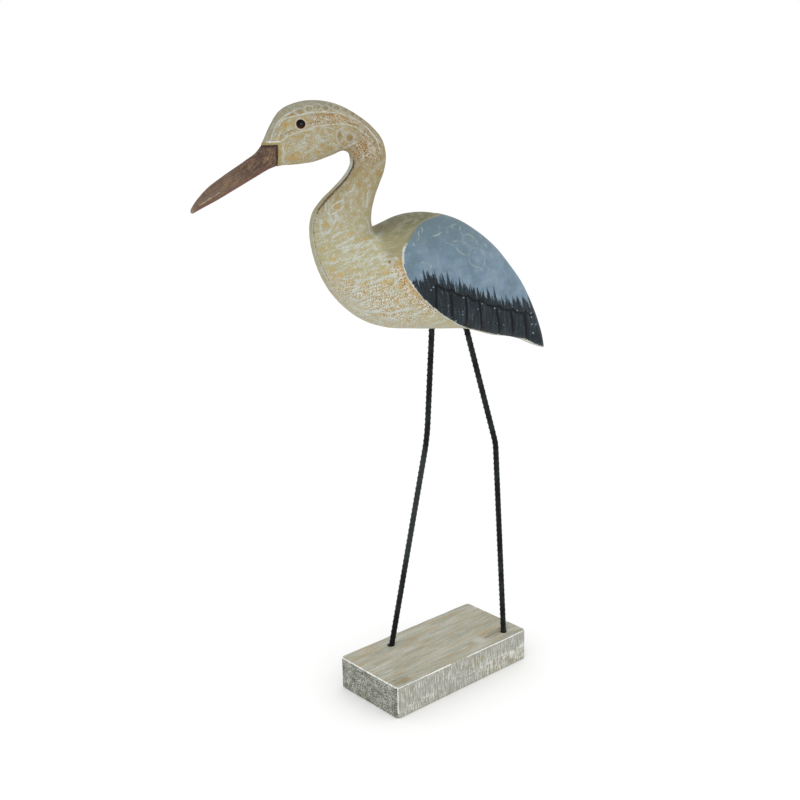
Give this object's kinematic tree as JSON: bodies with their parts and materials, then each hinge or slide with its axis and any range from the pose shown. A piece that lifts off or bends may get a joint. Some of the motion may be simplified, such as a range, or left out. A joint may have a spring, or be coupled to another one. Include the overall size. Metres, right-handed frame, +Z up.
{
  "type": "carved wooden egret statue",
  "caption": "Carved and painted wooden egret with folded wings, on two bent rod legs set in a rectangular wooden block.",
  "frame": {"origin": "middle of the block's underside", "axes": "+Z up, X along the block's long side with the bird's head towards -X, Y across the block"},
  "size_m": [0.2748, 0.1391, 0.5231],
  "materials": {
    "carved_wood": "limewashed, wings painted blue-grey and black, beak painted brown",
    "block_wood": "limewashed, worn at the edges",
    "rod_iron": "blackened, ribbed",
    "eye_bead": "glossy"
  },
  "bodies": {
    "root": {"bird": "carved_wood", "eye_left": "eye_bead", "eye_right": "eye_bead", "leg_left": "rod_iron", "leg_right": "rod_iron", "base": "block_wood"}
  },
  "joints": []
}
